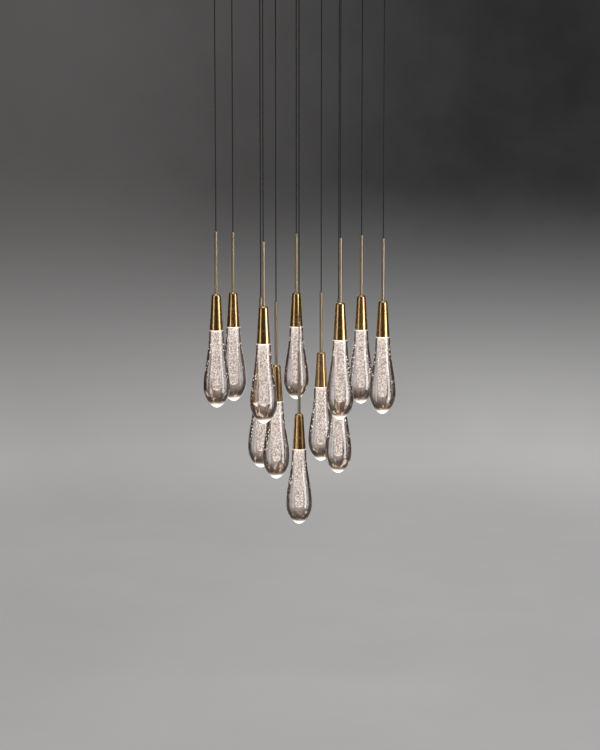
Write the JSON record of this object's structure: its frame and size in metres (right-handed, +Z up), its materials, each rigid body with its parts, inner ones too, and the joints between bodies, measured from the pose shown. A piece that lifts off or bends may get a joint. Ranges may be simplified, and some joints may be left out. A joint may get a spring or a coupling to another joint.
{
  "type": "glass chandelier",
  "caption": "Cluster pendant light: solid clear glass drops with bubbled cores in tapered brass caps and stems, hung on thin black cords in tiers from a round ceiling canopy.",
  "frame": {"origin": "middle of the ceiling plate's top face, where it bears on the ceiling", "axes": "+Z up into the ceiling, the drops hang towards -Z, and the picture looks along +Y"},
  "size_m": [0.5085, 0.5098, 1.486],
  "materials": {
    "burnished_brass": "satin burnished",
    "satin_brass": "satin",
    "clear_glass": "polished solid glass with a column of fine bubbles",
    "light_engine": "turned heat sink",
    "black_cord": "braided sleeve",
    "plate_steel": "zinc plated",
    "driver_white": "moulded",
    "terminal_white": "moulded",
    "board_green": "solder mask",
    "black_rubber": "moulded"
  },
  "bodies": {
    "canopy": {"ceiling_plate": "plate_steel", "canopy_pan": "satin_brass", "cord_grips": "satin_brass", "grip_nuts": "plate_steel", "plate_studs": "plate_steel", "dome_nuts": "satin_brass", "led_driver": "driver_white", "mains_terminal": "terminal_white", "junction_board": "board_green", "inner_screws": "plate_steel", "canopy_leads": "black_cord", "cable_bush": "black_rubber"},
    "line_01": {"cord_01": "black_cord"},
    "pendant_01": {"stem_and_cap_01": "burnished_brass", "led_engine_01": "light_engine", "glass_drop_01": "clear_glass"},
    "line_02": {"cord_02": "black_cord"},
    "pendant_02": {"stem_and_cap_02": "burnished_brass", "led_engine_02": "light_engine", "glass_drop_02": "clear_glass"},
    "line_03": {"cord_03": "black_cord"},
    "pendant_03": {"stem_and_cap_03": "burnished_brass", "led_engine_03": "light_engine", "glass_drop_03": "clear_glass"},
    "line_04": {"cord_04": "black_cord"},
    "pendant_04": {"stem_and_cap_04": "burnished_brass", "led_engine_04": "light_engine", "glass_drop_04": "clear_glass"},
    "line_05": {"cord_05": "black_cord"},
    "pendant_05": {"stem_and_cap_05": "burnished_brass", "led_engine_05": "light_engine", "glass_drop_05": "clear_glass"},
    "line_06": {"cord_06": "black_cord"},
    "pendant_06": {"stem_and_cap_06": "burnished_brass", "led_engine_06": "light_engine", "glass_drop_06": "clear_glass"},
    "line_07": {"cord_07": "black_cord"},
    "pendant_07": {"stem_and_cap_07": "burnished_brass", "led_engine_07": "light_engine", "glass_drop_07": "clear_glass"},
    "line_08": {"cord_08": "black_cord"},
    "pendant_08": {"stem_and_cap_08": "burnished_brass", "led_engine_08": "light_engine", "glass_drop_08": "clear_glass"},
    "line_09": {"cord_09": "black_cord"},
    "pendant_09": {"stem_and_cap_09": "burnished_brass", "led_engine_09": "light_engine", "glass_drop_09": "clear_glass"},
    "line_10": {"cord_10": "black_cord"},
    "pendant_10": {"stem_and_cap_10": "burnished_brass", "led_engine_10": "light_engine", "glass_drop_10": "clear_glass"},
    "line_11": {"cord_11": "black_cord"},
    "pendant_11": {"stem_and_cap_11": "burnished_brass", "led_engine_11": "light_engine", "glass_drop_11": "clear_glass"},
    "line_12": {"cord_12": "black_cord"},
    "pendant_12": {"stem_and_cap_12": "burnished_brass", "led_engine_12": "light_engine", "glass_drop_12": "clear_glass"}
  },
  "joints": [
    {"name": "swing_01", "type": "hinge", "parent": "canopy", "child": "line_01", "pos_m": [-0.00785, 0.22486, -0.054], "axis": [0, 1, 0], "range_deg": [-3, 3]},
    {"name": "height_01", "type": "slide", "parent": "line_01", "child": "pendant_01", "axis": [0, 0, 1], "range_m": [0, 0.45], "deforming": ["cord_01"]},
    {"name": "swing_02", "type": "hinge", "parent": "canopy", "child": "line_02", "pos_m": [-0.1807, 0.13406, -0.054], "axis": [0, 1, 0], "range_deg": [-3, 3]},
    {"name": "height_02", "type": "slide", "parent": "line_02", "child": "pendant_02", "axis": [0, 0, 1], "range_m": [0, 0.45], "deforming": ["cord_02"]},
    {"name": "swing_03", "type": "hinge", "parent": "canopy", "child": "line_03", "pos_m": [-0.21748, -0.05769, -0.054], "axis": [0, 1, 0], "range_deg": [-3, 3]},
    {"name": "height_03", "type": "slide", "parent": "line_03", "child": "pendant_03", "axis": [0, 0, 1], "range_m": [0, 0.45], "deforming": ["cord_03"]},
    {"name": "swing_04", "type": "hinge", "parent": "canopy", "child": "line_04", "pos_m": [-0.09049, -0.206, -0.054], "axis": [0, 1, 0], "range_deg": [-3, 3]},
    {"name": "height_04", "type": "slide", "parent": "line_04", "child": "pendant_04", "axis": [0, 0, 1], "range_m": [0, 0.45], "deforming": ["cord_04"]},
    {"name": "swing_05", "type": "hinge", "parent": "canopy", "child": "line_05", "pos_m": [0.10464, -0.19919, -0.054], "axis": [0, 1, 0], "range_deg": [-3, 3]},
    {"name": "height_05", "type": "slide", "parent": "line_05", "child": "pendant_05", "axis": [0, 0, 1], "range_m": [0, 0.45], "deforming": ["cord_05"]},
    {"name": "swing_06", "type": "hinge", "parent": "canopy", "child": "line_06", "pos_m": [0.22097, -0.04238, -0.054], "axis": [0, 1, 0], "range_deg": [-3, 3]},
    {"name": "height_06", "type": "slide", "parent": "line_06", "child": "pendant_06", "axis": [0, 0, 1], "range_m": [0, 0.45], "deforming": ["cord_06"]},
    {"name": "swing_07", "type": "hinge", "parent": "canopy", "child": "line_07", "pos_m": [0.17091, 0.14634, -0.054], "axis": [0, 1, 0], "range_deg": [-3, 3]},
    {"name": "height_07", "type": "slide", "parent": "line_07", "child": "pendant_07", "axis": [0, 0, 1], "range_m": [0, 0.45], "deforming": ["cord_07"]},
    {"name": "swing_08", "type": "hinge", "parent": "canopy", "child": "line_08", "pos_m": [0.06, 0.10392, -0.054], "axis": [0, 1, 0], "range_deg": [-3, 3]},
    {"name": "height_08", "type": "slide", "parent": "line_08", "child": "pendant_08", "axis": [0, 0, 1], "range_m": [0, 0.45], "deforming": ["cord_08"]},
    {"name": "swing_09", "type": "hinge", "parent": "canopy", "child": "line_09", "pos_m": [-0.10392, 0.06, -0.054], "axis": [0, 1, 0], "range_deg": [-3, 3]},
    {"name": "height_09", "type": "slide", "parent": "line_09", "child": "pendant_09", "axis": [0, 0, 1], "range_m": [0, 0.45], "deforming": ["cord_09"]},
    {"name": "swing_10", "type": "hinge", "parent": "canopy", "child": "line_10", "pos_m": [-0.06, -0.10392, -0.054], "axis": [0, 1, 0], "range_deg": [-3, 3]},
    {"name": "height_10", "type": "slide", "parent": "line_10", "child": "pendant_10", "axis": [0, 0, 1], "range_m": [0, 0.45], "deforming": ["cord_10"]},
    {"name": "swing_11", "type": "hinge", "parent": "canopy", "child": "line_11", "pos_m": [0.10392, -0.06, -0.054], "axis": [0, 1, 0], "range_deg": [-3, 3]},
    {"name": "height_11", "type": "slide", "parent": "line_11", "child": "pendant_11", "axis": [0, 0, 1], "range_m": [0, 0.45], "deforming": ["cord_11"]},
    {"name": "swing_12", "type": "hinge", "parent": "canopy", "child": "line_12", "pos_m": [0, 0, -0.054], "axis": [0, 1, 0], "range_deg": [-3, 3]},
    {"name": "height_12", "type": "slide", "parent": "line_12", "child": "pendant_12", "axis": [0, 0, 1], "range_m": [0, 0.45], "deforming": ["cord_12"]}
  ]
}
